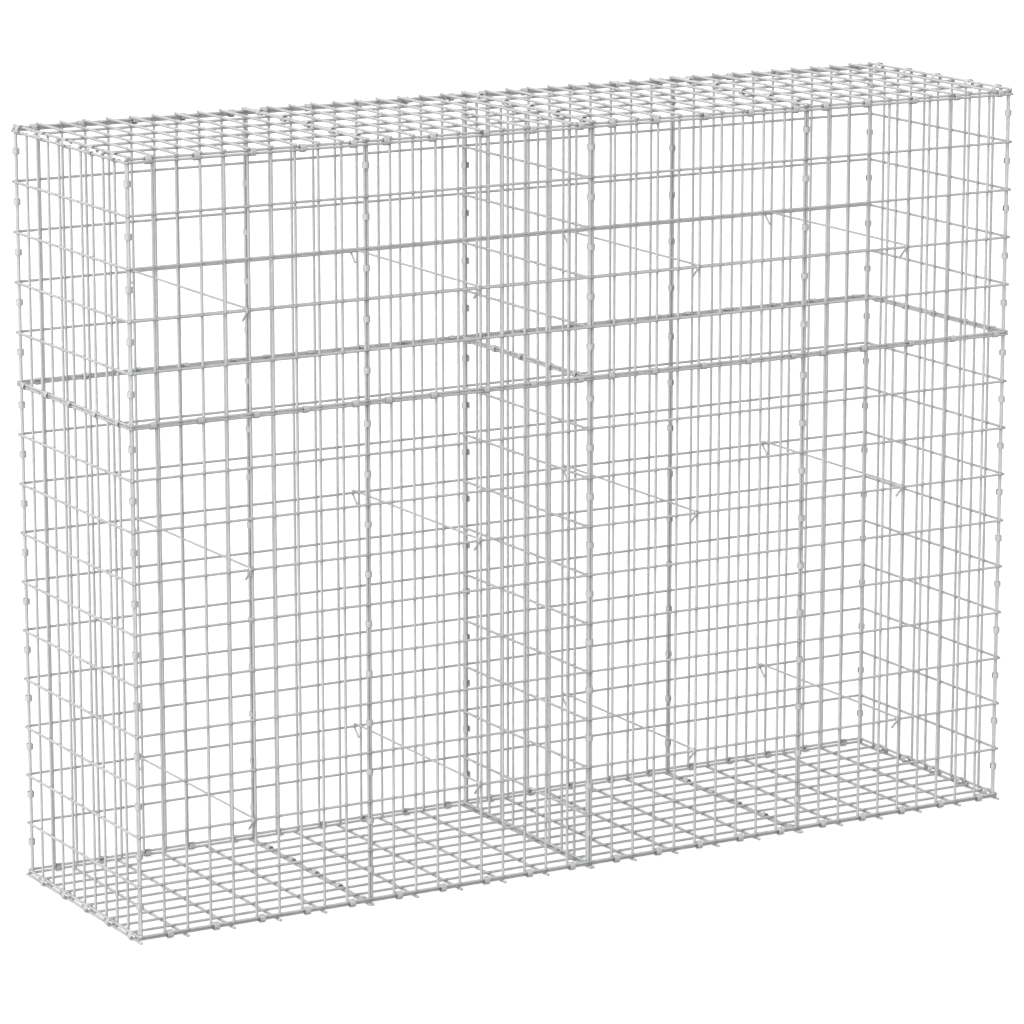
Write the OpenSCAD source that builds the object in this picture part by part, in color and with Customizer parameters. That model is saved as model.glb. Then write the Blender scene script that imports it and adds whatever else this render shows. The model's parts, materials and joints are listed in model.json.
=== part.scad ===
// Gabion wall basket: two tiers of welded wire mesh panels, clipped edge to edge.
// Units are millimetres. +Z is up, the front faces -Y, and the wall stands on z = 0
// with its length centred on x = 0 and its depth centred on y = 0.

/* [Panels] */
// Width of one front or back panel between its two edge wires
bay_w = 500; // [400:10:800]
// Width of a side panel between its two edge wires
side_w = 500; // [300:10:800]
// Height of a lower panel between its top and bottom wires
lower_h = 1000; // [600:10:1400]
// Height of an upper panel between its top and bottom wires
upper_h = 500; // [300:10:1000]

/* [Mesh] */
// Diameter of the mesh wire
wire_d = 5.5; // [4:0.25:7]
// Spacing aimed at between the close wires
close_gap = 50; // [40:5:80]
// Spacing aimed at between the wide wires
wide_gap = 100; // [80:10:200]
// Depth to which two crossing wires are welded into each other
weld_sink = 0.8; // [0.4:0.1:1.2]
// Length of wire left past the edge wire at a corner of the wall
overhang = 6.5; // [4:0.1:7]
// Length of the floor wires that shows in front of and behind the walls
floor_stub = 5; // [2:0.5:8]
// Clearance between two wires that lie against each other
fit = 0.3; // [0.2:0.05:0.5]

/* [Clips] */
// Width of the strip that a clip is bent from, along the wires that it holds
clip_w = 12; // [8:0.5:14]
// Thickness of the strip
clip_t = 1.2; // [0.8:0.1:2]
// Gap left between the two ends of a closed clip
clip_gap = 4.5; // [2:0.5:6]
// Height of a clip on an upright joint above the wide wire below it
clip_rise = 60; // [30:5:70]
// Distance of the first clip on a level edge from the edge wire of its panel
clip_first = 40; // [30:1:60]
// Distance of the last clip on a level edge from the far edge wire
clip_last = 26; // [15:1:60]
// Clips on one level edge of a panel
clips_per_edge = 5; // [3:1:5]
// Distance of the front and back floor clips from the close wire beside them
floor_clip_offset = 9.5; // [9.5:0.5:20]

/* [Ties] */
// Diameter of a tie rod
tie_d = 4.5; // [3:0.25:6]
// Length of the straight tail of a tie hook
tie_tail = 25; // [10:1:40]
// Turn of a tie hook around the wire that it holds
tie_turn = 135; // [100:5:160]
// Distance of a tie from the close wire in the middle of its panel
tie_offset = 10; // [8:1:20]
// Height of the first row of ties in each tier, in wide wires from its bottom
tie_row_low = 2; // [1:1:3]
// Height of the second row of ties in the lower tier, in wide wires from its bottom
tie_row_mid = 7; // [4:1:9]

/* [Hidden] */
bays = 4;
bar_sides = 8;
round_fn = 48;

mesh_colour = "gainsboro";
tie_colour = "silver";
clip_colour = "lightgray";

// Distance between the axes of two wires that lie against each other
beside = wire_d + fit;
// Distance between the axes of two wires that are welded across each other
layer = wire_d - weld_sink;

// Numbers of cells in each mesh, and their real pitch
bay_cols = max(2, round(bay_w / close_gap));
side_cols = max(2, round(side_w / close_gap));
bay_cells = max(1, round(bay_w / wide_gap));
side_cells = max(1, round(side_w / wide_gap));
lower_rows = max(1, round(lower_h / wide_gap));
upper_rows = max(1, round(upper_h / wide_gap));
bay_pitch = bay_w / bay_cols;
side_pitch = side_w / side_cols;

// Axes of the wires in plan, from the outer left front corner of the wall
level_in = wire_d / 2;            // level wires of every wall, from its outer face
upright_in = level_in + layer;    // upright wires of every wall, from its outer face
first_x = level_in + beside;      // left edge wire of the first front panel
first_y = upright_in + beside;    // front edge wire of a side panel
total_l = 2 * first_x + bays * bay_w + (bays - 1) * beside;
total_d = 2 * first_y + side_w;

// The floor reaches under both side walls, the lid from the front wall to the back wall
mat_d = total_d - 2 * upright_in;
mat_pitch = mat_d / side_cols;
mat_cell = mat_d / side_cells;
floor_w = (total_l - 2 * level_in - (bays - 1) * beside) / bays;

// Heights of the wire axes
floor_low = wire_d / 2;
floor_high = floor_low + layer;
lower_z = floor_high + beside;
seam_z = lower_z + lower_h;
upper_z = seam_z + beside;
top_z = upper_z + upper_h;
lid_low = top_z + beside;
lid_high = lid_low + layer;

// A wire ends flush with the edge wire where two panels meet
flush = wire_d / 2;

function bay_x(n) = first_x + (n - 1) * (bay_w + beside);
function floor_x(n) = level_in + (n - 1) * (floor_w + beside);
function joint_x(n) = bay_x(n) + bay_w + beside / 2;
function floor_joint_x(n) = floor_x(n) + floor_w + beside / 2;
function bay_ends(n) = [n == 1 ? overhang : flush, n == bays ? overhang : flush];

// The divider's uprights stand behind the left one of the two middle joint wires
mid_joint = bays / 2;
divider_upright_x = joint_x(mid_joint) - beside / 2;
divider_level_x = divider_upright_x - layer;

// ---- placing ----

// Everything is drawn from the outer left front corner and then centred
module centred() {
    translate([-total_l / 2, -total_d / 2, 0])
        children();
}

module at_back() {
    translate([0, total_d, 0])
        mirror([0, 1, 0])
            children();
}

module at_right() {
    translate([total_l, 0, 0])
        mirror([1, 0, 0])
            children();
}

module front_and_back() {
    children();
    at_back()
        children();
}

module left_and_right() {
    children();
    at_right()
        children();
}

// ---- mesh panels ----

// Eight-sided wire along +Z, with flats square to X and Y
module bar(length) {
    rotate([0, 0, 180 / bar_sides])
        cylinder(h = length, d = wire_d / cos(180 / bar_sides), $fn = bar_sides);
}

// Flat mesh: rows of wires along X at z = 0, with columns of wires along Y welded on top.
// over_x and over_y are the wire ends left past the edge wires, at the start and the end.
module mesh(w, h, cols, rows, over_x, over_y) {
    for (k = [0 : rows])
        translate([-over_x[0], k * h / rows, 0])
            rotate([0, 90, 0])
                bar(w + over_x[0] + over_x[1]);
    for (i = [0 : cols])
        translate([i * w / cols, h + over_y[1], layer])
            rotate([90, 0, 0])
                bar(h + over_y[0] + over_y[1]);
}

// Mesh stood upright: level wires outside at y = 0, uprights behind them
module wall_mesh(w, h, cols, rows, over_x) {
    mirror([0, 1, 0])
        rotate([90, 0, 0])
            mesh(w, h, cols, rows, over_x, [flush, flush]);
}

module bay_panel(n, z, h, rows) {
    translate([bay_x(n), level_in, z])
        wall_mesh(bay_w, h, bay_cols, rows, bay_ends(n));
}

// Panel across the wall: level wires at x, uprights on their +X side
module cross_panel(x, z, h, rows, over) {
    translate([x, first_y + side_w, z])
        rotate([0, 0, -90])
            wall_mesh(side_w, h, side_cols, rows, [over, over]);
}

module front_lower(n) {
    color(mesh_colour) centred() bay_panel(n, lower_z, lower_h, lower_rows);
}

module front_upper(n) {
    color(mesh_colour) centred() bay_panel(n, upper_z, upper_h, upper_rows);
}

module back_lower(n) {
    color(mesh_colour) centred() at_back() bay_panel(n, lower_z, lower_h, lower_rows);
}

module back_upper(n) {
    color(mesh_colour) centred() at_back() bay_panel(n, upper_z, upper_h, upper_rows);
}

module left_lower() {
    color(mesh_colour) centred() cross_panel(level_in, lower_z, lower_h, lower_rows, overhang);
}

module left_upper() {
    color(mesh_colour) centred() cross_panel(level_in, upper_z, upper_h, upper_rows, overhang);
}

module right_lower() {
    color(mesh_colour) centred() at_right()
        cross_panel(level_in, lower_z, lower_h, lower_rows, overhang);
}

module right_upper() {
    color(mesh_colour) centred() at_right()
        cross_panel(level_in, upper_z, upper_h, upper_rows, overhang);
}

module divider_lower() {
    color(mesh_colour) centred() cross_panel(divider_level_x, lower_z, lower_h, lower_rows, flush);
}

module divider_upper() {
    color(mesh_colour) centred() cross_panel(divider_level_x, upper_z, upper_h, upper_rows, flush);
}

// Floor: wide-spaced wires along Y on the ground, close wires along X on top of them
module floor_panel(n) {
    stub = upright_in + floor_stub;
    color(mesh_colour) centred()
        translate([floor_x(n) + floor_w, upright_in, floor_low])
            rotate([0, 0, 90])
                mesh(mat_d, floor_w, side_cols, bay_cells, [stub, stub], [flush, flush]);
}

// Lid: wide-spaced wires along X on the wall tops, close wires along Y on top of them
module lid_panel(n) {
    color(mesh_colour) centred()
        translate([bay_x(n), upright_in, lid_low])
            mesh(bay_w, mat_d, bay_cols, side_cells, bay_ends(n), [overhang, overhang]);
}

// ---- tie rods ----

tie_r = wire_d / 2 + fit + tie_d / 2;
// A tail starts a little inside the bend, and is thinner so that it leaves through its end
tail_sink = 0.5;
tail_d = tie_d - 0.1;

// Hook over a level wire along X through the origin: round its outside and back in
module tie_hook() {
    rotate([90, 0, 90]) {
        rotate([0, 0, 90])
            rotate_extrude(angle = tie_turn, $fn = round_fn)
                translate([tie_r, 0])
                    circle(d = tie_d);
        rotate([0, 0, 90 + tie_turn])
            translate([tie_r, -tail_sink, 0])
                rotate([-90, 0, 0])
                    cylinder(h = tie_tail + tail_sink, d = tail_d, $fn = round_fn);
    }
}

// Straight rod from the front level wire to the back one, hooked over both
module tie() {
    translate([0, level_in, tie_r])
        rotate([-90, 0, 0])
            cylinder(h = total_d - 2 * level_in, d = tie_d, $fn = round_fn);
    front_and_back()
        translate([0, level_in, 0])
            tie_hook();
}

module tie_row(z) {
    color(tie_colour) centred()
        for (n = [1 : bays])
            translate([bay_x(n) + round(bay_cols / 2) * bay_pitch - tie_offset, 0, z])
                tie();
}

// ---- clips ----

// Inner radius of a clip around wires whose own axes lie within reach of its middle
function clip_r(reach) = reach + wire_d / 2 + fit;

// Least distance of a clip's middle from a wire that crosses the wires that it holds
clip_clear = wire_d / 2 + clip_w / 2 + fit;

// Place p, moved clear of the nearest of a row of wires at this pitch, the first of them at start
function clear_of(p, pitch, start = 0) =
    let (near = start + pitch * round((p - start) / pitch), off = p - near)
    abs(off) >= clip_clear ? p : near + (off < 0 ? -clip_clear : clip_clear);

// Places of the clips along a level edge of width w
function edge_places(w, pitch) =
    let (step = (w - clip_first - clip_last) / (clips_per_edge - 1))
    [for (k = [0 : clips_per_edge - 1]) clear_of(clip_first + k * step, pitch)];

// Angle between the two ends of a closed clip
function closed(reach) = 2 * asin(clip_gap / 2 / clip_r(reach));

// Clip bent from a strip around wires along Z, with its opening towards +X
module clip(reach, open) {
    rotate([0, 0, open / 2])
        rotate_extrude(angle = 360 - open, $fn = round_fn)
            translate([clip_r(reach), -clip_w / 2])
                square([clip_t, clip_w]);
}

module closed_clip(reach) {
    clip(reach, closed(reach));
}

// Turns a clip around wires along X, with its opening towards +Y
module along_x() {
    rotate([90, 0, 90])
        children();
}

// Turns a clip around wires along Y, with its opening towards +X
module along_y() {
    rotate([90, 0, 0])
        children();
}

// Turns a clip around wires along Y, with its opening downwards
module under_y() {
    rotate([90, 0, 0])
        rotate([0, 0, -90])
            children();
}

// Opening of a clip whose middle is at height z, so that its ends stay off the ground
function ground_open(z, reach) = 2 * acos((z - fit) / (clip_r(reach) + clip_t));

// Clips up an upright joint, one above each wide wire of both tiers
module clips_up(x, y) {
    for (k = [0 : lower_rows - 1])
        translate([x, y, lower_z + k * lower_h / lower_rows + clip_rise])
            children();
    for (k = [0 : upper_rows - 1])
        translate([x, y, upper_z + k * upper_h / upper_rows + clip_rise])
            children();
}

// Around the edge upright of a front or back panel and that of a side panel
module clips_corners() {
    across = first_x - upright_in;
    color(clip_colour) centred()
        front_and_back() left_and_right()
            clips_up((first_x + upright_in) / 2, upright_in + beside / 2)
                rotate([0, 0, atan(across / beside)])
                    closed_clip(norm([across, beside]) / 2);
}

// Two wires side by side, or three where the divider joins them
module joint_clips() {
    for (n = [1 : bays - 1])
        if (n == mid_joint)
            clips_up(joint_x(n), upright_in + beside / 2)
                rotate([0, 0, 90])
                    closed_clip(norm([beside, beside]) / 2);
        else
            clips_up(joint_x(n), upright_in)
                rotate([0, 0, 90])
                    closed_clip(beside / 2);
}

module clips_front_joints() {
    color(clip_colour) centred() joint_clips();
}

module clips_back_joints() {
    color(clip_colour) centred() at_back() joint_clips();
}

// Along the front and back floor edges, and along both sides
module clips_floor_edges() {
    floor_pitch = floor_w / bay_cells;
    side_mid = (lower_z + floor_low) / 2;
    side_reach = (lower_z - floor_low) / 2;
    color(clip_colour) centred() {
        front_and_back()
            for (n = [1 : bays], i = [1 : 2 : bay_cols - 1])
                translate([
                        clear_of(bay_x(n) + i * bay_pitch + floor_clip_offset, floor_pitch, floor_x(n)),
                        (level_in + upright_in) / 2, (lower_z + floor_high) / 2])
                    along_x()
                        rotate([0, 0, atan(layer / beside)])
                            closed_clip(norm([layer, beside]) / 2);
        left_and_right()
            for (j = [0 : 2 : side_cols - 1])
                translate([level_in, upright_in + (j + 0.5) * mat_pitch, side_mid])
                    under_y()
                        clip(side_reach, ground_open(side_mid, side_reach));
    }
}

module clips_floor_joints() {
    lift = 0.5;
    mid = floor_low + lift;
    reach = norm([beside / 2, lift]);
    color(clip_colour) centred()
        for (n = [1 : bays - 1], j = [0 : 2 : side_cols - 1])
            translate([floor_joint_x(n), upright_in + (j + 0.5) * mat_pitch, mid])
                under_y()
                    clip(reach, ground_open(mid, reach));
}

// Along the level seam between the two tiers, on all four walls and the divider
module clips_seam() {
    mid = (seam_z + upper_z) / 2;
    reach = beside / 2;
    color(clip_colour) centred() {
        front_and_back()
            for (n = [1 : bays], p = edge_places(bay_w, bay_pitch))
                translate([bay_x(n) + p, level_in, mid])
                    along_x()
                        closed_clip(reach);
        for (p = edge_places(side_w, side_pitch)) {
            left_and_right()
                translate([level_in, first_y + p, mid])
                    along_y()
                        closed_clip(reach);
            translate([divider_level_x, first_y + p, mid])
                along_y()
                    closed_clip(reach);
        }
    }
}

// Along the four top edges, around the wall's top wire and the lid's edge wire
module clips_lid_edges() {
    across = first_x - level_in;
    rise = lid_high - top_z;
    color(clip_colour) centred() {
        front_and_back()
            for (n = [1 : bays], p = edge_places(bay_w, bay_pitch))
                translate([bay_x(n) + p, (level_in + upright_in) / 2, (top_z + lid_low) / 2])
                    along_x()
                        rotate([0, 0, -atan(layer / beside)])
                            closed_clip(norm([layer, beside]) / 2);
        left_and_right()
            for (p = edge_places(side_w, side_pitch))
                translate([(level_in + first_x) / 2, first_y + p, (top_z + lid_high) / 2])
                    along_y()
                        rotate([0, 0, -atan(across / rise)])
                            closed_clip(norm([across, rise]) / 2);
    }
}

// Around the edge wires of two lid panels, one in each wide cell
module clips_lid_joints() {
    in_cell = 0.35;
    color(clip_colour) centred()
        for (n = [1 : bays - 1], k = [0 : side_cells - 1])
            translate([joint_x(n),
                    clear_of(upright_in + (k + in_cell) * mat_cell, side_pitch, first_y), lid_high])
                under_y()
                    closed_clip(beside / 2);
}

// ---- nodes ----

front_lower(1);  // front_lower_1
front_lower(2);  // front_lower_2
front_lower(3);  // front_lower_3
front_lower(4);  // front_lower_4
back_lower(1);  // back_lower_1
back_lower(2);  // back_lower_2
back_lower(3);  // back_lower_3
back_lower(4);  // back_lower_4
left_lower();
divider_lower();
right_lower();
front_upper(1);  // front_upper_1
front_upper(2);  // front_upper_2
front_upper(3);  // front_upper_3
front_upper(4);  // front_upper_4
back_upper(1);  // back_upper_1
back_upper(2);  // back_upper_2
back_upper(3);  // back_upper_3
back_upper(4);  // back_upper_4
left_upper();
divider_upper();
right_upper();
floor_panel(1);  // floor_1
floor_panel(2);  // floor_2
floor_panel(3);  // floor_3
floor_panel(4);  // floor_4
lid_panel(1);  // lid_1
lid_panel(2);  // lid_2
lid_panel(3);  // lid_3
lid_panel(4);  // lid_4
tie_row(lower_z + tie_row_low * lower_h / lower_rows);  // ties_low
tie_row(lower_z + tie_row_mid * lower_h / lower_rows);  // ties_mid
tie_row(upper_z + tie_row_low * upper_h / upper_rows);  // ties_high
clips_corners();
clips_front_joints();
clips_back_joints();
clips_floor_edges();
clips_floor_joints();
clips_seam();
clips_lid_edges();
clips_lid_joints();
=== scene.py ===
# %% [markdown]
# # A gabion wall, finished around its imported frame
# A gabion wall is a basket of welded galvanised mesh, set up on the ground and later filled with stone.
# The frame holds every panel, tie rod and clip at its true place, with plain eight-sided wires.
# This lesson gives each of them its real shape and finish: round drawn wires with sheared ends, a fillet of
# zinc at every weld, hooked tie rods and clips bent from strip.

import json
import math
import random

import bmesh
import bpy
from mathutils import Matrix, Vector

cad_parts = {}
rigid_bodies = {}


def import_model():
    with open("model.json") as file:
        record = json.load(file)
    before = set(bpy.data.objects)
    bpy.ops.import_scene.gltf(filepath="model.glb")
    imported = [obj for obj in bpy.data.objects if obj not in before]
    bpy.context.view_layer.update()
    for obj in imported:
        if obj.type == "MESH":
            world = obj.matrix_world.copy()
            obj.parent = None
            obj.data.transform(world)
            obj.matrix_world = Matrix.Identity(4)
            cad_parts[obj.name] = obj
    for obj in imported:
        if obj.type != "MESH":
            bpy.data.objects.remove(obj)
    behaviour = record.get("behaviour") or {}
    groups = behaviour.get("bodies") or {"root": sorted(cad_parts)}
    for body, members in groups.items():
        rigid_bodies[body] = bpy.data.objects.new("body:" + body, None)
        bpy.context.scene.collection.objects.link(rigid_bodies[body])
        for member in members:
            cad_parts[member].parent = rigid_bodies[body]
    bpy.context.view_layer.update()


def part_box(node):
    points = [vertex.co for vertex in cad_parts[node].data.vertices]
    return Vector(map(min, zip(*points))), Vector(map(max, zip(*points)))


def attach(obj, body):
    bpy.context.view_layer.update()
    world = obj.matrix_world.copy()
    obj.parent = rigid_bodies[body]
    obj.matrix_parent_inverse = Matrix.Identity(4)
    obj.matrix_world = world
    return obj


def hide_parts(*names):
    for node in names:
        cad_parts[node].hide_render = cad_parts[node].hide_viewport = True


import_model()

# %% [markdown]
# ## Sizes
# A few sizes of the real thing are needed again here. Everything else is read from the boxes of the frame's
# nodes, so a piece always lands where its node is. All lengths are in metres. `LAYER` is the step from one
# welded wire to the one that crosses it, and `BESIDE` the step between two wires that lie side by side.
# `FIT` is the clearance between pieces that touch, and points nearer than `SAME_POINT` become one.

# %% Sizes
WIRE = 0.0055
WELD_SINK = 0.0008
FIT = 0.0003
LAYER = WIRE - WELD_SINK
BESIDE = WIRE + FIT
FLUSH = WIRE / 2
OVERHANG = 0.0065
FLOOR_STUB = WIRE / 2 + LAYER + 0.005
BAYS = 4
MESH_CLOSE = 0.05
MESH_WIDE = 0.1
SAME_POINT = 0.00001
WIRE_SMOOTH = math.radians(50)
X, Y, Z = Vector((1, 0, 0)), Vector((0, 1, 0)), Vector((0, 0, 1))
print("wire", WIRE, "two welded layers", round(WIRE + LAYER, 4))


# %% [markdown]
# ## Small helpers
# Operators act on whatever is selected, so each step starts by choosing what is. Called with nothing,
# `select_only` clears the selection, as is done before a new primitive is added. `settle` puts a piece's
# place and turn into its mesh, so that its object sits at the origin as the frame's nodes do.

# %% Helpers
def select_only(*objects):
    for other in bpy.context.view_layer.objects:
        other.select_set(False)
    for chosen in objects:
        chosen.select_set(True)
    if objects:
        bpy.context.view_layer.objects.active = objects[0]


def settle(piece):
    select_only(piece)
    bpy.ops.object.transform_apply(location=True, rotation=True, scale=True)


def join(objects, name):
    select_only(*objects)
    bpy.ops.object.join()
    made = bpy.context.view_layer.objects.active
    made.name = made.data.name = name
    return made


def apply_modifiers(piece):
    select_only(piece)
    for modifier in list(piece.modifiers):
        bpy.ops.object.modifier_apply(modifier=modifier.name)


def copy_of(piece, name):
    twin = piece.copy()
    twin.data = piece.data.copy()
    twin.name = twin.data.name = name
    bpy.context.collection.objects.link(twin)
    return twin


def face_count(piece):
    return len(piece.data.polygons)


# %% [markdown]
# ## One straight wire
# Mesh wire is drawn round, straightened and sheared to length. A cylinder gives the round, and a small bevel
# on its two end rims gives the edge that the shear rolls over. It is cut across at every weld, so that no
# face is very long and thin. It is made lying along +X, from `-before` to `span + after`.

# %% One straight wire
WIRE_SIDES = 12
BURR = WIRE * 0.09


def straight_wire(span, cells, before, after):
    length = before + span + after
    select_only()
    bpy.ops.mesh.primitive_cylinder_add(
        vertices=WIRE_SIDES,
        radius=WIRE / 2,
        depth=length,
        rotation=(0, math.pi / 2, 0),
        location=((span + after - before) / 2, 0, 0),
    )
    wire = bpy.context.object
    settle(wire)
    bpy.ops.object.mode_set(mode="EDIT")
    bpy.ops.mesh.select_all(action="DESELECT")
    bpy.ops.mesh.select_mode(type="FACE")
    form = bmesh.from_edit_mesh(wire.data)
    for face in form.faces:
        if abs(face.normal.x) > 0.9:
            face.select_set(True)
    bmesh.update_edit_mesh(wire.data)
    bpy.ops.mesh.bevel(offset=BURR, segments=1)
    for k in range(cells + 1):
        bpy.ops.mesh.select_all(action="SELECT")
        bpy.ops.mesh.bisect(plane_co=(k * span / cells, 0, 0), plane_no=(1, 0, 0))
    bpy.ops.object.mode_set(mode="OBJECT")
    return wire


# %% [markdown]
# ## One weld
# The two wires are pressed together while a current melts them, so they sink into each other and push out a
# little metal, and the zinc bath later fills the corner. A flattened ball at the crossing shows that fillet.
# It is copied over two thousand times, so it has only about thirty faces.

# %% One weld
WELD_RADIUS = WIRE * 0.49
WELD_FLATNESS = 0.55


def weld_fillet():
    select_only()
    bpy.ops.mesh.primitive_uv_sphere_add(segments=8, ring_count=4, radius=WELD_RADIUS)
    fillet = bpy.context.object
    fillet.scale = (1, 1, WELD_FLATNESS)
    fillet.location = (0, 0, LAYER / 2)
    settle(fillet)
    return fillet


# %% [markdown]
# ## One mesh panel
# A welding machine feeds all the long wires at once and drops the cross wires on them at a fixed pitch. The
# panel is made the same way: one wire and an array of it in each direction, and an array of welds. The panel
# lies flat first, its rows along +X and its columns along +Y on top of them. An attribute keeps each point's
# place in cells, which later tells the zinc where to paint shade round the welds.

# %% One mesh panel
def array(piece, count, step):
    repeat = piece.modifiers.new("repeat", "ARRAY")
    repeat.count = count
    repeat.use_relative_offset = False
    repeat.use_constant_offset = True
    repeat.constant_offset_displace = step


def flat_panel(name, width, height, cols, rows, over_x, over_y):
    row = straight_wire(width, cols, *over_x)
    array(row, rows + 1, (0, height / rows, 0))
    apply_modifiers(row)
    column = straight_wire(height, max(rows, round(height / MESH_CLOSE)), *over_y)
    column.rotation_euler = (0, 0, math.pi / 2)
    column.location = (0, 0, LAYER)
    settle(column)
    array(column, cols + 1, (width / cols, 0, 0))
    apply_modifiers(column)
    weld = weld_fillet()
    array(weld, cols + 1, (width / cols, 0, 0))
    array(weld, rows + 1, (0, height / rows, 0))
    apply_modifiers(weld)
    panel = join([row, column, weld], name)
    place = panel.data.attributes.new("cell", "FLOAT_VECTOR", "POINT")
    for v, spot in zip(panel.data.vertices, place.data):
        spot.vector = (v.co.x * cols / width, v.co.y * rows / height, v.co.z / WIRE)
    select_only(panel)
    bpy.ops.object.shade_smooth_by_angle(angle=WIRE_SMOOTH)
    return panel


# %% [markdown]
# ## Standing the panels up
# `stand` turns a flat panel so that its rows run along one axis, its columns along another, and its
# columns lie on the side that `inward` points to. Its corner comes from the box of its own node. Wires run
# past the edge wire at the wall's outer corners and end flush at the joints, so that panels can stand
# edge to edge. Panels of one size are copies of one form, each with its own mesh.

# %% Standing the panels up
templates = {}
mesh_pieces = []


def stand(node, along, up, cols, rows, over_x, over_y):
    inward = along.cross(up)
    low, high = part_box(node)
    size = Vector(high) - Vector(low)
    width = abs(size.dot(along)) - sum(over_x)
    height = abs(size.dot(up)) - sum(over_y)
    key = (round(width, 5), round(height, 5), cols, rows, over_x, over_y)
    if key not in templates:
        templates[key] = flat_panel("panel_form", width, height, cols, rows, over_x, over_y)
    corner = Vector(
        (low if sum(a[i] for a in (along, up, inward)) > 0 else high)[i] for i in range(3)
    )
    corner += along * over_x[0] + up * over_y[0] + inward * WIRE / 2
    piece = copy_of(templates[key], node + "_mesh")
    turn = Matrix((along, up, inward)).transposed().to_4x4()
    piece.matrix_world = Matrix.Translation(corner) @ turn
    settle(piece)
    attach(piece, "root")
    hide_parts(node)
    mesh_pieces.append(piece)


COLS, LOWER_ROWS, UPPER_ROWS = 10, 10, 5


def wire_ends(n):
    return (OVERHANG if n == 1 else FLUSH, OVERHANG if n == BAYS else FLUSH)


for tier, rows in (("lower", LOWER_ROWS), ("upper", UPPER_ROWS)):
    for n in range(1, BAYS + 1):
        left_end, right_end = wire_ends(n)
        stand(f"front_{tier}_{n}", -X, Z, COLS, rows, (right_end, left_end), (FLUSH, FLUSH))
        stand(f"back_{tier}_{n}", X, Z, COLS, rows, (left_end, right_end), (FLUSH, FLUSH))
    stand(f"left_{tier}", Y, Z, COLS, rows, (OVERHANG, OVERHANG), (FLUSH, FLUSH))
    stand(f"right_{tier}", -Y, Z, COLS, rows, (OVERHANG, OVERHANG), (FLUSH, FLUSH))
    stand(f"divider_{tier}", Y, Z, COLS, rows, (FLUSH, FLUSH), (FLUSH, FLUSH))
print(len(mesh_pieces), "wall panels from", len(templates), "forms")

# %% [markdown]
# ## Floor and lid
# The floor's cross wires lie on the ground with the close wires on top of them. The lid is the same mesh the
# other way about: its wide-spaced wires rest on the walls and its close wires run across, on top.

# %% Floor and lid
FLAT_ROWS = 5
for n in range(1, BAYS + 1):
    stand(f"floor_{n}", Y, -X, COLS, FLAT_ROWS, (FLOOR_STUB, FLOOR_STUB), (FLUSH, FLUSH))
    stand(f"lid_{n}", X, Y, COLS, FLAT_ROWS, wire_ends(n), (OVERHANG, OVERHANG))
for form in templates.values():
    bpy.data.objects.remove(form)
print(len(mesh_pieces), "panels,", sum(face_count(p) for p in mesh_pieces), "faces")

# %% [markdown]
# ## Tie rods
# A tie rod keeps the front from bulging when the stone goes in. It is a straight galvanised rod, and each
# end is bent round a level wire and back into the basket. Half a rod is made, from the middle of the wall to
# its front: a circle is extruded along the straight part, spun round the wire and extruded again for the
# tail. A mirror makes the other half.

# %% Tie rods
TIE = 0.0045
TIE_TURN = math.radians(135)
TIE_TAIL = 0.025
TIE_BEND = WIRE / 2 + FIT + TIE / 2
TIE_PARTS = 5
TIE_BEND_STEPS = 10


def extrude_by(step):
    bpy.ops.mesh.extrude_region_move(TRANSFORM_OT_translate={"value": step})


def tie_rod(node, k):
    low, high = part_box(node)
    front = low[1] + TIE / 2 + TIE_BEND
    level = high[2] - TIE / 2 - TIE_BEND
    first, last = low[0] + TIE / 2, high[0] - TIE / 2
    x = first + (last - first) * k / (BAYS - 1)
    select_only()
    bpy.ops.mesh.primitive_circle_add(
        vertices=WIRE_SIDES,
        radius=TIE / 2,
        rotation=(math.pi / 2, 0, 0),
        location=(x, 0, level + TIE_BEND),
    )
    rod = bpy.context.object
    settle(rod)
    bpy.ops.object.mode_set(mode="EDIT")
    bpy.ops.mesh.select_mode(type="VERT")
    bpy.ops.mesh.select_all(action="SELECT")
    for _ in range(TIE_PARTS):
        extrude_by((0, front / TIE_PARTS, 0))
    bpy.ops.mesh.spin(
        steps=TIE_BEND_STEPS, angle=TIE_TURN, center=(x, front, level), axis=(-1, 0, 0)
    )
    away = TIE_TURN + math.pi / 2
    extrude_by(Vector((0, -math.sin(away), math.cos(away))) * TIE_TAIL)
    bpy.ops.mesh.edge_face_add()
    bpy.ops.object.mode_set(mode="OBJECT")
    other_half = rod.modifiers.new("other half", "MIRROR")
    other_half.use_axis = (False, True, False)
    other_half.merge_threshold = SAME_POINT
    apply_modifiers(rod)
    return rod


rod_pieces = []
for node in ("ties_low", "ties_mid", "ties_high"):
    rods = join([tie_rod(node, k) for k in range(BAYS)], node + "_rods")
    bpy.ops.object.mode_set(mode="EDIT")
    bpy.ops.mesh.select_all(action="SELECT")
    bpy.ops.mesh.normals_make_consistent(inside=False)
    bpy.ops.object.mode_set(mode="OBJECT")
    bpy.ops.object.shade_smooth_by_angle(angle=WIRE_SMOOTH)
    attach(rods, "root")
    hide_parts(node)
    rod_pieces.append(rods)
    print(node, face_count(rods), "faces")

# %% [markdown]
# ## Strip clips
# Every edge is closed with clips: short pieces of galvanised steel strip, bent by pliers round the two or
# three wires that they hold, with a gap left between their ends. One clip of each size is spun from the
# strip's cross-section, which is flat inside and has its two outer edges rounded by the shears. The frame
# draws a clip just clear of its wires, and this one keeps that place. All the copies of one row of clips
# become one piece.

# %% One clip
CLIP_W, CLIP_T, CLIP_GAP = 0.012, 0.0012, 0.0045
CLIP_EDGE = CLIP_T * 0.4
CLIP_STEPS = 14
CLIP_SMOOTH = math.radians(35)


def clip_radius(reach):
    return reach + WIRE / 2 + FIT


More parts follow.
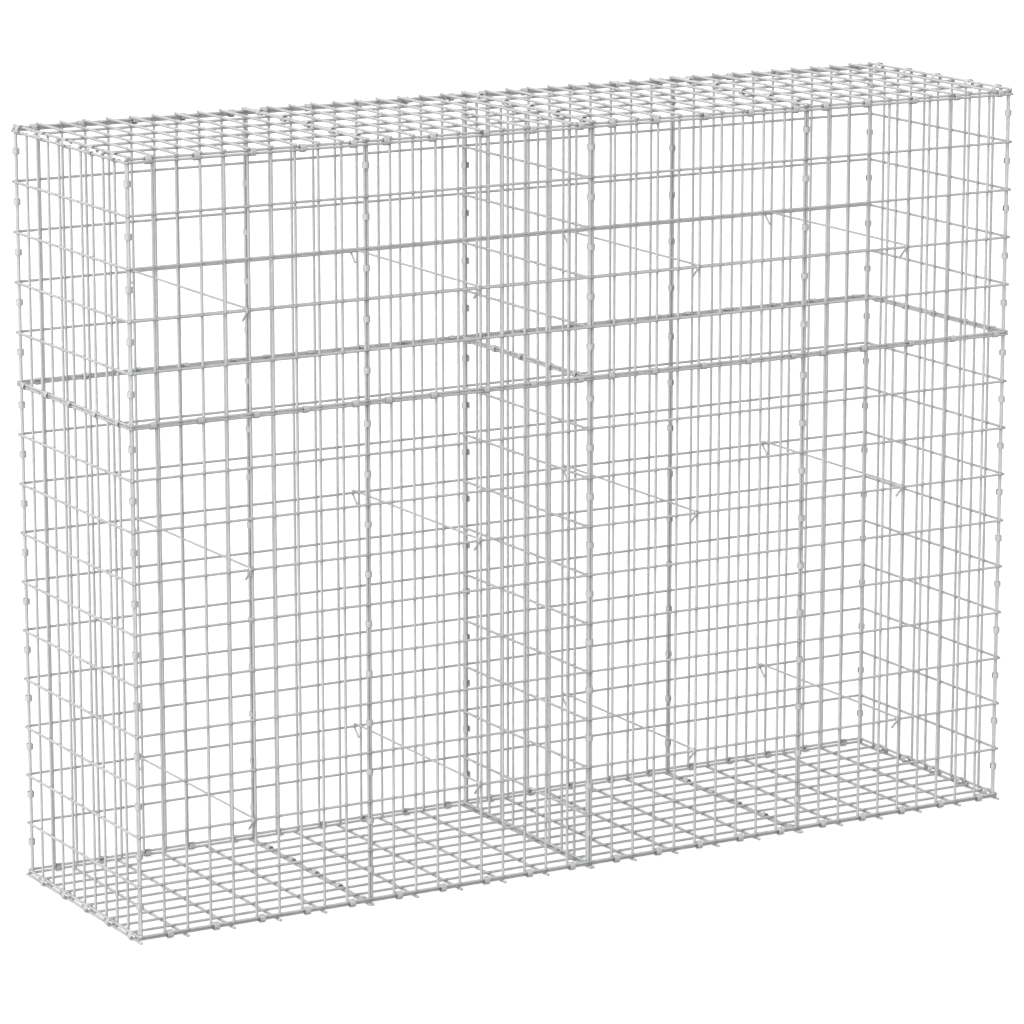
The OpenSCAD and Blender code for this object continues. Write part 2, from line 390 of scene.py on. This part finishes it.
def closed(reach):
    return 2 * math.asin(CLIP_GAP / 2 / clip_radius(reach))


def clip_form(reach, opening):
    middle = clip_radius(reach) + CLIP_T / 2
    select_only()
    bpy.ops.mesh.primitive_plane_add(
        size=1, rotation=(math.pi / 2, 0, 0), location=(middle, 0, 0)
    )
    clip = bpy.context.object
    clip.scale = (CLIP_T, CLIP_W, 1)
    settle(clip)
    form = bmesh.new()
    form.from_mesh(clip.data)
    outer = [v for v in form.verts if v.co.x > middle]
    bmesh.ops.bevel(form, geom=outer, offset=CLIP_EDGE, affect="VERTICES", segments=1)
    bmesh.ops.rotate(form, matrix=Matrix.Rotation(opening / 2, 3, "Z"), verts=form.verts)
    form.to_mesh(clip.data)
    form.free()
    select_only(clip)
    bpy.ops.object.mode_set(mode="EDIT")
    bpy.ops.mesh.select_all(action="SELECT")
    bpy.ops.mesh.duplicate()
    bpy.ops.mesh.spin(
        steps=CLIP_STEPS, angle=2 * math.pi - opening, center=(0, 0, 0), axis=(0, 0, -1)
    )
    bpy.ops.mesh.select_all(action="SELECT")
    bpy.ops.mesh.remove_doubles(threshold=SAME_POINT)
    bpy.ops.mesh.normals_make_consistent(inside=False)
    bpy.ops.object.mode_set(mode="OBJECT")
    bpy.ops.object.shade_smooth_by_angle(angle=CLIP_SMOOTH)
    return clip


# %% [markdown]
# ## Where the clips go
# The rows of clips are laid out by the same rule as in the frame. Names that end in `_in` are measured from
# an outer face of the wall to the middle of a wire, as a fitter would mark them, and the heights from the
# ground. A mat is a floor or lid panel. The overall sizes come from the boxes of the nodes, and the steps
# between the wires from the wire itself.

# %% Axes of the wires that the clips hold
def box_of(node):
    low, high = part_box(node)
    return Vector(low), Vector(high)


half_l = -box_of("left_lower")[0].x
half_d = -box_of("front_lower_1")[0].y
bay_w = (box_of("front_lower_2")[1] - box_of("front_lower_2")[0]).x - 2 * FLUSH
level_in = WIRE / 2
upright_in = level_in + LAYER
first_x = level_in + BESIDE
first_y = upright_in + BESIDE
side_w = 2 * (half_d - first_y)
mat_d = 2 * (half_d - upright_in)
floor_w = (2 * (half_l - level_in) - (BAYS - 1) * BESIDE) / BAYS
floor_low = WIRE / 2
floor_high = floor_low + LAYER
lower_z = box_of("front_lower_1")[0].z + FLUSH
seam_z = box_of("front_lower_1")[1].z - FLUSH
upper_z = box_of("front_upper_1")[0].z + FLUSH
top_z = box_of("front_upper_1")[1].z - FLUSH
lid_low = top_z + BESIDE
lid_high = lid_low + LAYER
print("bay", round(bay_w, 4), "side", round(side_w, 4), "floor panel", round(floor_w, 4))


def bay_x(n):
    return first_x - half_l + (n - 1) * (bay_w + BESIDE)


def joint_x(n):
    return bay_x(n) + bay_w + BESIDE / 2


# %% [markdown]
# ## Setting the clips
# A clip is set by its middle, the way its opening faces and the axis of the wires inside it. The openings
# face into the basket, where no hand or coat catches on them, and each is turned up to 17 degrees by chance,
# as clips set by hand are. Clips near the ground open downwards, with both ends just clear of it, so their
# opening is given and they are not turned. Clips on a level edge start `CLIP_FIRST` from the panel's first
# upright wire and end `CLIP_LAST` before its last one. On an upright edge each sits `CLIP_RISE` above a level
# wire, and at the front and back of the floor `FLOOR_CLIP` beside an upright wire.

# %% Setting the clips
CLIP_FIRST, CLIP_LAST, CLIP_RISE, FLOOR_CLIP = 0.04, 0.026, 0.06, 0.0095
CLIPS_PER_EDGE = 5
CLIP_CLEAR = WIRE / 2 + CLIP_W / 2 + FIT
CLIP_SLACK = 0.3
hand = random.Random(7)
clip_forms = {}


def set_clip(rows, place, reach, faces, axis, opening=None):
    loose = 0 if opening else CLIP_SLACK
    opening = opening or closed(reach)
    key = (round(reach, 5), round(opening, 3))
    if key not in clip_forms:
        clip_forms[key] = clip_form(reach, opening)
    clip = copy_of(clip_forms[key], "clip")
    turn = Matrix((faces, axis.cross(faces), axis)).transposed().to_4x4()
    slack = Matrix.Rotation(loose * hand.uniform(-1, 1), 4, "Z")
    clip.matrix_world = Matrix.Translation(place) @ turn @ slack
    rows.append(clip)


def edge_places(width, pitch):
    step = (width - CLIP_FIRST - CLIP_LAST) / (CLIPS_PER_EDGE - 1)
    for k in range(CLIPS_PER_EDGE):
        p = CLIP_FIRST + k * step
        wire = pitch * round(p / pitch)
        if abs(p - wire) < CLIP_CLEAR:
            p = wire + math.copysign(CLIP_CLEAR, p - wire)
        yield p


def heights():
    for k in range(LOWER_ROWS):
        yield lower_z + k * (seam_z - lower_z) / LOWER_ROWS + CLIP_RISE
    for k in range(UPPER_ROWS):
        yield upper_z + k * (top_z - upper_z) / UPPER_ROWS + CLIP_RISE


def opening_above_ground(z, reach):
    return 2 * math.acos((z - FIT) / (clip_radius(reach) + CLIP_T))


def finish_clips(rows, node):
    for clip in rows:
        settle(clip)
    piece = join(rows, node + "_set")
    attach(piece, "root")
    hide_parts(node)
    print(node, len(rows), "clips,", face_count(piece), "faces")
    return piece


clip_pieces = []

# %% [markdown]
# ## Clips on the uprights
# Corners and upright joints come first, with one clip above each level wire. Two edge wires stand side by
# side there, and three at the middle joint, where the divider comes in.

# %% Clips on corners and upright joints
rows = []
across = first_x - upright_in
turned = math.atan2(across, BESIDE)
for sx in (-1, 1):
    for sy in (-1, 1):
        x = sx * (half_l - (first_x + upright_in) / 2)
        y = sy * (half_d - upright_in - BESIDE / 2)
        faces = Vector((-sx * math.cos(turned), -sy * math.sin(turned), 0))
        for z in heights():
            set_clip(rows, (x, y, z), math.hypot(across, BESIDE) / 2, faces, Z)
clip_pieces.append(finish_clips(rows, "clips_corners"))

for node, sy in (("clips_front_joints", -1), ("clips_back_joints", 1)):
    rows = []
    for n in range(1, BAYS):
        middle = n == BAYS // 2
        y = sy * (half_d - upright_in - (BESIDE / 2 if middle else 0))
        reach = BESIDE / 2 * (math.sqrt(2) if middle else 1)
        for z in heights():
            set_clip(rows, (joint_x(n), y, z), reach, Y * -sy, Z)
    clip_pieces.append(finish_clips(rows, node))

# %% [markdown]
# ## Clips on the floor
# The walls stand just above the floor panels. Clips at the front and back hold the wall's lowest wire to the
# floor's edge wire, and those at the ends hold it to the floor's cross wire. At the three joints two floor
# panels lie side by side. The rings there are drawn half a millimetre higher than the wires, to keep clear of
# the ground.

# %% Clips on the floor
JOINT_LIFT = 0.0005
rows = []
edge_reach = math.hypot(LAYER, BESIDE) / 2
edge_y = half_d - (level_in + upright_in) / 2
inwards, down = BESIDE / (2 * edge_reach), LAYER / (2 * edge_reach)
for n in range(1, BAYS + 1):
    for i in range(1, COLS, 2):
        x = bay_x(n) + i * bay_w / COLS + FLOOR_CLIP
        for sy in (-1, 1):
            place = (x, sy * edge_y, (lower_z + floor_high) / 2)
            set_clip(rows, place, edge_reach, Y * -sy * inwards + Z * down, X)
mat_places = [upright_in - half_d + (j + 0.5) * mat_d / COLS for j in range(0, COLS, 2)]
for y in mat_places:
    z, reach = (lower_z + floor_low) / 2, (lower_z - floor_low) / 2
    opening = opening_above_ground(z, reach)
    for sx in (-1, 1):
        set_clip(rows, (sx * (half_l - level_in), y, z), reach, -Z, -Y, opening)
clip_pieces.append(finish_clips(rows, "clips_floor_edges"))

rows = []
for n in range(1, BAYS):
    x = level_in - half_l + n * (floor_w + BESIDE) - BESIDE / 2
    z, reach = floor_low + JOINT_LIFT, math.hypot(BESIDE / 2, JOINT_LIFT)
    for y in mat_places:
        set_clip(rows, (x, y, z), reach, -Z, -Y, opening_above_ground(z, reach))
clip_pieces.append(finish_clips(rows, "clips_floor_joints"))

# %% [markdown]
# ## Clips on the seam
# The upper tier stands on the lower one, top wire to bottom wire, all round and across the divider. Five
# clips to a panel hold each pair, and each keeps clear of the upright wires that cross there.

# %% Clips on the seam between the tiers
rows = []
mid = (seam_z + upper_z) / 2
for n in range(1, BAYS + 1):
    for p in edge_places(bay_w, bay_w / COLS):
        for sy in (-1, 1):
            place = (bay_x(n) + p, sy * (half_d - level_in), mid)
            set_clip(rows, place, BESIDE / 2, Y * -sy, X)
for p in edge_places(side_w, side_w / COLS):
    y = first_y - half_d + p
    set_clip(rows, (level_in - half_l, y, mid), BESIDE / 2, X, -Y)
    set_clip(rows, (half_l - level_in, y, mid), BESIDE / 2, -X, -Y)
    set_clip(rows, (joint_x(BAYS // 2) - BESIDE / 2 - LAYER, y, mid), BESIDE / 2, X, -Y)
clip_pieces.append(finish_clips(rows, "clips_seam"))

# %% [markdown]
# ## Clips on the lid
# The lid lies on the walls. Its clips take in the walls' top wire and the lid's edge wire, and across the lid
# they hold two panels' edge wires together.

# %% Clips on the lid
LID_JOINT_CLIPS, LID_JOINT_START = 5, 0.35
rows = []
for n in range(1, BAYS + 1):
    for p in edge_places(bay_w, bay_w / COLS):
        for sy in (-1, 1):
            place = (bay_x(n) + p, sy * edge_y, (top_z + lid_low) / 2)
            set_clip(rows, place, edge_reach, Y * -sy * inwards - Z * down, X)
across, rise = first_x - level_in, lid_high - top_z
side_reach = math.hypot(across, rise) / 2
for p in edge_places(side_w, side_w / COLS):
    for sx in (-1, 1):
        x = sx * (half_l - (level_in + first_x) / 2)
        place = (x, first_y - half_d + p, (top_z + lid_high) / 2)
        faces = (X * -sx * rise - Z * across) / (2 * side_reach)
        set_clip(rows, place, side_reach, faces, -Y)
clip_pieces.append(finish_clips(rows, "clips_lid_edges"))

rows = []
for n in range(1, BAYS):
    for k in range(LID_JOINT_CLIPS):
        y = upright_in - half_d + (k + LID_JOINT_START) * mat_d / LID_JOINT_CLIPS
        set_clip(rows, (joint_x(n), y, lid_high), BESIDE / 2, -Z, -Y)
clip_pieces.append(finish_clips(rows, "clips_lid_joints"))
for form in clip_forms.values():
    bpy.data.objects.remove(form)

# %% [markdown]
# ## Colours and nodes
# Colours are given as sRGB hex and turned to linear light by one function. Another adds a node, sets it and
# links its inputs: a name with an underscore first gives the number of an input, and the rest give its name.

# %% Colour and node helpers
def colour(code):
    parts = [int(code[i : i + 2], 16) / 255 for i in (1, 3, 5)]
    linear = [c / 12.92 if c <= 0.04045 else ((c + 0.055) / 1.055) ** 2.4 for c in parts]
    return (*linear, 1.0)


def add_node(tree, kind, settings=None, **links):
    node = tree.nodes.new(kind)
    for name, value in (settings or {}).items():
        if isinstance(name, int) or name in node.inputs.keys():
            node.inputs[name].default_value = value
        else:
            setattr(node, name, value)
    for name, source in links.items():
        target = int(name[1:]) if name[0] == "_" else name.replace("_", " ")
        tree.links.new(source, node.inputs[target])
    return node


# %% [markdown]
# ## Zinc on wire, rod and strip
# The mesh is welded first and then dipped in molten zinc. New zinc is bright, and within months it weathers
# to a matt, even pale grey with a faint patchwork of crystals, the spangle, about 9 mm across. Slow changes
# in the bath show as paler and duller stretches a hand's width long, and a grain of 4 mm roughens the skin.
# Round each weld the colour is darkened: painted shade in place of the contact shadow where the wires cross.
# The place in cells, folded at half a cell, tells how far off the nearest weld is.
# The skin is between a metal and a powdery oxide, so it is made a third metallic, with no clear gloss of its
# own, and dark where it is seen edge on. Rods and strip are galvanised before they are cut and bent, so
# they are a little smoother and have no painted weld shade.

# %% Zinc
SPANGLE, STRETCH, GRAIN = 0.009, 0.12, 0.004
SPANGLE_SHARE = 0.35
PALE_BELOW, DULL_ABOVE = 0.4, 0.9
SMOOTHER_BY, ROUGHER_BY = 0.06, 0.08
# Painted shade round the welds: how near it starts and ends, how strong it is and how dark.
WELD_SHADE_INSIDE, WELD_SHADE_OUTSIDE, WELD_SHADE_STRENGTH = 0.002, 0.005, 0.6
WELD_SHADE_COLOUR = "#8B8D8C"
GRAIN_HEIGHT, GRAIN_STRENGTH = 0.0004, 0.25
EDGE_ON = "#000000"


def distance_from_weld(tree):
    cell = add_node(tree, "ShaderNodeAttribute", {"attribute_name": "cell"}).outputs["Vector"]
    split = add_node(tree, "ShaderNodeSeparateXYZ", _0=cell)
    away = []
    for axis, pitch in ((0, MESH_CLOSE), (1, MESH_WIDE)):
        fold = add_node(tree, "ShaderNodeMath", {"operation": "PINGPONG", 1: 0.5},
                        _0=split.outputs[axis])
        away.append(add_node(tree, "ShaderNodeMath", {"operation": "MULTIPLY", 1: pitch},
                             _0=fold.outputs[0]).outputs[0])
    ring = add_node(tree, "ShaderNodeCombineXYZ", _0=away[0], _1=away[1])
    reach = add_node(tree, "ShaderNodeVectorMath", {"operation": "LENGTH"}, _0=ring.outputs[0])
    return reach.outputs["Value"]


def zinc(name, pale, dull, metallic, rough, welds):
    made = bpy.data.materials.new(name)
    made.use_nodes = True
    tree = made.node_tree
    tree.nodes.clear()
    point = add_node(tree, "ShaderNodeTexCoord").outputs["Object"]
    spangle = add_node(tree, "ShaderNodeTexVoronoi", {"Scale": 1 / SPANGLE}, Vector=point)
    patches = add_node(tree, "ShaderNodeTexNoise", {"Scale": 1 / STRETCH, "Detail": 3.0}, Vector=point)
    grains = add_node(tree, "ShaderNodeTexNoise", {"Scale": 1 / GRAIN, "Detail": 2.0}, Vector=point)
    shade = add_node(tree, "ShaderNodeMath", {"operation": "MULTIPLY", 1: SPANGLE_SHARE},
                     _0=spangle.outputs["Color"]).outputs[0]
    shade = add_node(tree, "ShaderNodeMath", {"operation": "ADD"},
                     _0=shade, _1=patches.outputs["Fac"]).outputs[0]
    shade = add_node(tree, "ShaderNodeMapRange", {"From Min": PALE_BELOW, "From Max": DULL_ABOVE},
                     Value=shade)
    skin = add_node(tree, "ShaderNodeMix", {"data_type": "RGBA"}, _0=shade.outputs[0])
    skin.inputs[6].default_value = colour(pale)
    skin.inputs[7].default_value = colour(dull)
    base = skin.outputs[2]
    if welds:
        # Painted shade: the colour darkens towards each weld, in place of the contact shadow where the wires
        # cross.
        near = add_node(tree, "ShaderNodeMapRange",
                        {"interpolation_type": "SMOOTHSTEP", "From Min": WELD_SHADE_OUTSIDE,
                         "From Max": WELD_SHADE_INSIDE, "To Max": WELD_SHADE_STRENGTH},
                        Value=distance_from_weld(tree))
        weld_shade = add_node(tree, "ShaderNodeMath", {"operation": "MULTIPLY"},
                        _0=near.outputs[0], _1=grains.outputs["Fac"])
        weld_shaded = add_node(tree, "ShaderNodeMix", {"data_type": "RGBA"}, _0=weld_shade.outputs[0], _6=base)
        weld_shaded.inputs[7].default_value = colour(WELD_SHADE_COLOUR)
        base = weld_shaded.outputs[2]
    rough_map = add_node(tree, "ShaderNodeMapRange",
                         {"To Min": rough - SMOOTHER_BY, "To Max": rough + ROUGHER_BY},
                         Value=grains.outputs["Fac"])
    lumps = add_node(tree, "ShaderNodeBump", {"Strength": GRAIN_STRENGTH, "Distance": GRAIN_HEIGHT},
                     Height=grains.outputs["Fac"])
    body = add_node(tree, "ShaderNodeBsdfPrincipled",
                    {"Metallic": metallic, "Specular IOR Level": 0.0, "Specular Tint": colour(EDGE_ON)},
                    Base_Color=base, Roughness=rough_map.outputs[0], Normal=lumps.outputs[0])
    out = add_node(tree, "ShaderNodeOutputMaterial")
    tree.links.new(body.outputs[0], out.inputs["Surface"])
    return made


mesh_zinc = zinc("hot_dip_zinc_weathered", "#E0E1E1", "#D3D4D4", 0.3, 0.5, True)
rod_zinc = zinc("drawn_zinc_rod", "#E0E1E1", "#D5D6D6", 0.3, 0.45, False)
clip_zinc = zinc("galvanised_clip_strip", "#E0E1E1", "#D5D6D6", 0.3, 0.45, False)


# %% [markdown]
# ## Finishing the pieces
# Each piece takes the zinc of its kind, and only that one.

# %% Finishing the pieces
def finish_with(piece, material):
    piece.data.materials.clear()
    piece.data.materials.append(material)


for piece in mesh_pieces:
    finish_with(piece, mesh_zinc)
for piece in clip_pieces:
    finish_with(piece, clip_zinc)
for piece in rod_pieces:
    finish_with(piece, rod_zinc)
print(len(bpy.data.materials), "materials in the file")

# %% [markdown]
# ## Camera
# The wall is seen from its left front, from nine and a half metres away and 1.2 m above its top, with a
# long lens, so its lines run together only a little. Where the camera stands decides which near wire covers
# which far one, and that pattern is most of what one sees of a basket of wire.

# %% Camera
LOOK_DOWN, LOOK_RIGHT = math.radians(12.435), math.radians(29.982)
camera = bpy.data.objects.new("camera", bpy.data.cameras.new("camera"))
bpy.context.collection.objects.link(camera)
camera.data.sensor_width = 36
camera.data.lens = 163.4
camera.location = (-4.683, -8.0576, 2.7481)
camera.rotation_euler = (math.pi / 2 - LOOK_DOWN, 0, -LOOK_RIGHT)
camera.data.clip_end = 200
bpy.context.scene.camera = camera
print("lens", camera.data.lens, "mm")

# %% [markdown]
# ## Floor
# The wall stands on a plain pale floor. Seen by the camera or in a reflection it is paper white, and it keeps
# the faint shadow of the mesh. For all other light it is nearly black, so that little light comes up from
# below, and the undersides of the level wires stay dark enough to read.

# %% Floor
FLOOR_SIZE = 120
PAPER_WHITE, PAPER_GLOW, PAPER_DARK = 0.8, 0.6, 0.05
select_only()
bpy.ops.mesh.primitive_plane_add(size=FLOOR_SIZE, location=(0, 0, 0))
floor = bpy.context.object
floor.name = floor.data.name = "studio_floor"


def seen_directly(tree):
    path = add_node(tree, "ShaderNodeLightPath")
    glossy = add_node(tree, "ShaderNodeMath", {"operation": "MAXIMUM"},
                      _0=path.outputs["Is Camera Ray"], _1=path.outputs["Is Glossy Ray"])
    return add_node(tree, "ShaderNodeMath", {"operation": "MAXIMUM"},
                    _0=glossy.outputs[0], _1=path.outputs["Is Transmission Ray"]).outputs[0]


paper = bpy.data.materials.new("floor_paper")
paper.use_nodes = True
tree = paper.node_tree
tree.nodes.clear()
seen = seen_directly(tree)
pale = add_node(tree, "ShaderNodeBsdfDiffuse", {"Color": (*[PAPER_WHITE] * 3, 1)})
lift = add_node(tree, "ShaderNodeEmission", {"Color": (1, 1, 1, 1), "Strength": PAPER_GLOW})
white = add_node(tree, "ShaderNodeAddShader", _0=pale.outputs[0], _1=lift.outputs[0])
grey = add_node(tree, "ShaderNodeBsdfDiffuse", {"Color": (*[PAPER_DARK] * 3, 1)})
both = add_node(tree, "ShaderNodeMixShader", _0=seen, _1=grey.outputs[0], _2=white.outputs[0])
out = add_node(tree, "ShaderNodeOutputMaterial")
tree.links.new(both.outputs[0], out.inputs["Surface"])
floor.data.materials.append(paper)

# %% [markdown]
# ## Sun and sky
# The light is soft daylight: a very wide, low sun, as through thin cloud, from the left and a little from the
# front, and a sky that grows brighter from the horizon up. Wires of the three directions catch different
# amounts of it, which tells them apart. The sky too shows as plain white.

# %% Sun and sky
HORIZON, ZENITH = 0.28, 0.8
SUN_FROM = Vector((-0.9, -0.25, 0.38))
sun = bpy.data.objects.new("sun", bpy.data.lights.new("sun", "SUN"))
bpy.context.collection.objects.link(sun)
sun.data.energy = 2.5
sun.data.angle = math.radians(70)
sun.rotation_euler = SUN_FROM.to_track_quat("Z", "Y").to_euler()

world = bpy.data.worlds.new("sky")
bpy.context.scene.world = world
world.use_nodes = True
tree = world.node_tree
tree.nodes.clear()
seen = seen_directly(tree)
way = add_node(tree, "ShaderNodeTexCoord").outputs["Generated"]
height = add_node(tree, "ShaderNodeSeparateXYZ", _0=way).outputs["Z"]
dome = add_node(tree, "ShaderNodeMapRange", {"To Min": HORIZON, "To Max": ZENITH}, Value=height)
light = add_node(tree, "ShaderNodeBackground", {"Color": (1, 1, 1, 1)}, Strength=dome.outputs[0])
plain = add_node(tree, "ShaderNodeBackground", {"Color": (1, 1, 1, 1), "Strength": 1.0})
both = add_node(tree, "ShaderNodeMixShader", _0=seen, _1=light.outputs[0], _2=plain.outputs[0])
out = add_node(tree, "ShaderNodeOutputWorld")
tree.links.new(both.outputs[0], out.inputs["Surface"])
bpy.context.scene.view_settings.view_transform = "Standard"
